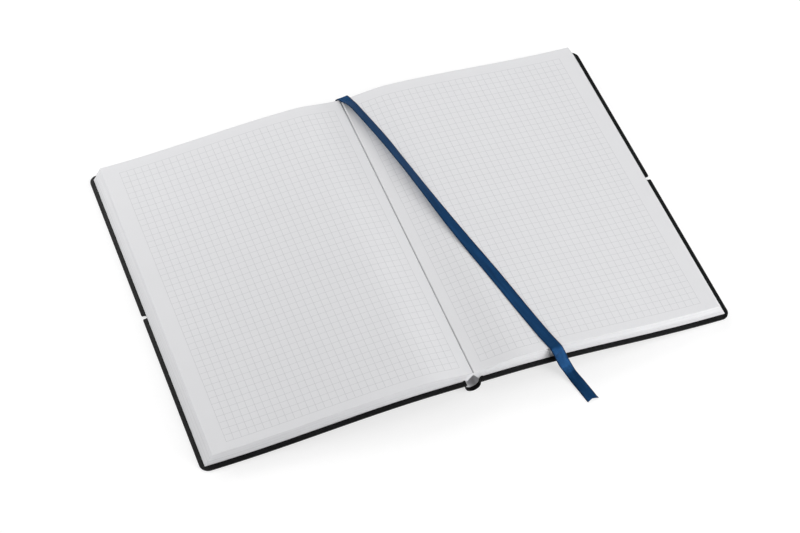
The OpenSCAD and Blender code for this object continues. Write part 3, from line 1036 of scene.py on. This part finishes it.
def make_spine():
    """Leatherette of the hollow spine, worn thin at both ends."""
    outer, inner = [np.array(p) for p in spine_paths(0, SKIN_T)]
    middle = (outer + inner) / 2
    points, n = [], 2 * len(outer)
    ends = [(-SPINE_H / 2, WORN_LEFT), (-SPINE_H / 2 + WORN_END, 1)]
    ends += [(-y, keep) for y, keep in reversed(ends)]
    for y, keep in ends:
        ring = np.concatenate([middle + (outer - middle) * keep, (middle + (inner - middle) * keep)[::-1]])
        points.append(np.column_stack([ring[:, 0], np.full(n, y), ring[:, 1]]))
    piece = new_piece("spine_leatherette", np.concatenate(points), band_faces(len(ends), n))
    piece.data.materials.append(leather)
    piece.data.set_sharp_from_angle(angle=SHARP_SKIN)
    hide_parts("spine_skin")
    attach(piece, "book_block")


def make_spine_lining():
    """White paper inside the hollow spine, from one joint round to the other."""
    outer, inner = [np.array(p) for p in spine_paths(SKIN_T, SKIN_T + PAPER_T)]
    points, n = [], 2 * len(outer)
    for share in np.linspace(-1, 1, 9):
        ring = np.concatenate([outer, inner[::-1]])
        points.append(np.column_stack([ring[:, 0], np.full(n, share * LINING_H / 2), ring[:, 1]]))
    piece = new_piece("spine_lining_paper", np.concatenate(points), band_faces(len(points), n))
    piece.data.materials.append(lining_paper)
    piece.data.set_sharp_from_angle(angle=SHARP_SKIN)
    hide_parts("spine_liner")
    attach(piece, "book_block")


def joint_section():
    """Section of the skin between spine and cover, in X and Z, with the fold it gathers into below."""
    arc_r = TURN_R + SKIN_T / 2
    arc_x = SPINE_R + TURN_R
    top = [(x, TURN_Z + math.sqrt(arc_r ** 2 - (arc_x - x) ** 2)) for x in np.linspace(FOLD_FROM, arc_x, 9)]
    slit_x = HINGE_X - HALF_SLIT
    top += [(slit_x, top[-1][1]), (slit_x, JOINT_Z + SKIN_T)]
    top += [(x, JOINT_Z + SKIN_T) for x in np.linspace(slit_x, WRAP_X, 5)[1:]]
    low = [(WRAP_X - x, FOLD_LOW + z) for x, z in FOLD_BY_COVER]
    low += [(FOLD_FROM + x, FOLD_LOW + z) for x, z in FOLD_BY_SPINE]
    return np.array(top + low)


def past_spine_section(inside, end_from):
    """The same section past the ends of the spine, where the skin is turned in and full to its corner."""
    full = inside.copy()
    share = np.clip((WRAP_X - inside[:, 0]) / (WRAP_X - FOLD_FROM), 0, 1)
    full[:, 0] -= (FOLD_FROM - end_from) * share
    above = np.arange(len(full)) < TOP_POINTS
    rounded = np.clip((end_from + END_ROUND - full[above, 0]) / END_ROUND, 0, 1)
    full[above, 1] = JOINT_Z + SKIN_T - END_SINK - END_ROUND * rounded
    return full


def make_joint(side):
    """Skin from the spine to one cover."""
    section = joint_section()
    n = len(section)
    full = past_spine_section(section, END_FROM[side])
    near, far = SPINE_H / 2 + 0.05, COVER_H / 2 - 0.1
    levels = [(-far, full), (-near - 0.05, full), (-near, section), (-near / 2, section), (0, section)]
    levels += [(-y, ring) for y, ring in reversed(levels[:-1])]
    points = np.concatenate([np.column_stack([side * ring[:, 0], np.full(n, y), ring[:, 1]])
                             for y, ring in levels])
    faces = grid_faces(len(levels), n, around=True)
    last = (len(levels) - 1) * n
    faces.append(tuple(range(n))[::-1])
    faces.append(tuple(last + k for k in range(n)))
    if side < 0:
        faces = [tuple(reversed(f)) for f in faces]
    name = "left" if side < 0 else "right"
    piece = new_piece(name + "_soft_joint", points, faces)
    mend(piece.data, most_corners=4, outward=True)
    piece.data.materials.append(leather)
    piece.data.set_sharp_from_angle(angle=SHARP_SKIN)
    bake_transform(piece)


make_spine()
make_spine_lining()
for side in (-1, 1):
    make_joint(side)


# Ribbon
ribbon.data.materials.append(silk)
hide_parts("ribbon_marker")
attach(ribbon, "book_block")


# CAD nodes that stay as they are, with their own materials

def dress(node, made):
    """Gives a node of the solids its material."""
    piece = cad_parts[node]
    piece.data.materials.clear()
    piece.data.materials.append(made)


for side in ("left", "right"):
    dress(side + "_card", board)
    dress(side + "_endpaper", lining_paper)
dress("spine_mull", mull_paper)


# Table, light and background

TABLE_REACH = 6.0


def make_floor():
    """A plain table under the object, wide enough to fill the picture."""
    corners = [(x * TABLE_REACH, y * TABLE_REACH, 0) for x, y in ((-1, -1), (1, -1), (1, 1), (-1, 1))]
    mesh = bpy.data.meshes.new("table")
    mesh.from_pydata(corners, [], [(0, 1, 2, 3)])
    table = bpy.data.objects.new("table", mesh)
    bpy.context.scene.collection.objects.link(table)
    mesh.materials.append(floor_white())


def area_lamp(name, at, towards, size, watts, glossy=True):
    """A soft rectangular lamp; without glossy, no surface mirrors it."""
    lamp = bpy.data.objects.new(name, bpy.data.lights.new(name, "AREA"))
    lamp.data.shape = "RECTANGLE"
    lamp.data.size = size[0]
    lamp.data.size_y = size[1]
    lamp.data.energy = watts
    lamp.visible_glossy = glossy
    lamp.location = at
    lamp.rotation_mode = "QUATERNION"
    lamp.rotation_quaternion = (Vector(towards) - Vector(at)).to_track_quat("-Z", "Y")
    bpy.context.scene.collection.objects.link(lamp)


def make_world():
    """White behind the object for the camera, and dim light all round for the rest."""
    world = bpy.data.worlds.new("studio")
    world.use_nodes = True
    tree = world.node_tree
    shader = tree.nodes["Background"]
    seen = put(tree, "ShaderNodeLightPath").outputs["Is Camera Ray"]
    white = blend_colours(tree, seen, (SKY, SKY, SKY, 1), (1, 1, 1, 1))
    tree.links.new(white, shader.inputs["Color"])
    bpy.context.scene.world = world


make_floor()
make_world()
area_lamp("left_softbox", (-1.2, 0.7, 0.7), (0, 0, 0), (0.8, 0.6), 11.8)
area_lamp("back_softbox", (-0.25, 0.95, 0.7), (0, 0, 0), (0.8, 0.5), 5.6)
area_lamp("low_right_softbox", (0.85, -0.95, 0.14), (0, 0, 0), (0.9, 0.18), 7.6)
area_lamp("front_right_softbox", (0.9, -1.0, 0.45), (0, 0, 0), (0.8, 0.55), 4.8, glossy=False)
area_lamp("high_right_softbox", (0.9, -0.9, 0.9), (0, 0, 0), (0.7, 0.7), 6.2, glossy=False)
area_lamp("right_softbox", (1.2, 0.1, 1.0), (0, 0, 0), (0.8, 0.8), 4.6, glossy=False)

bpy.context.scene.view_settings.view_transform = "Standard"
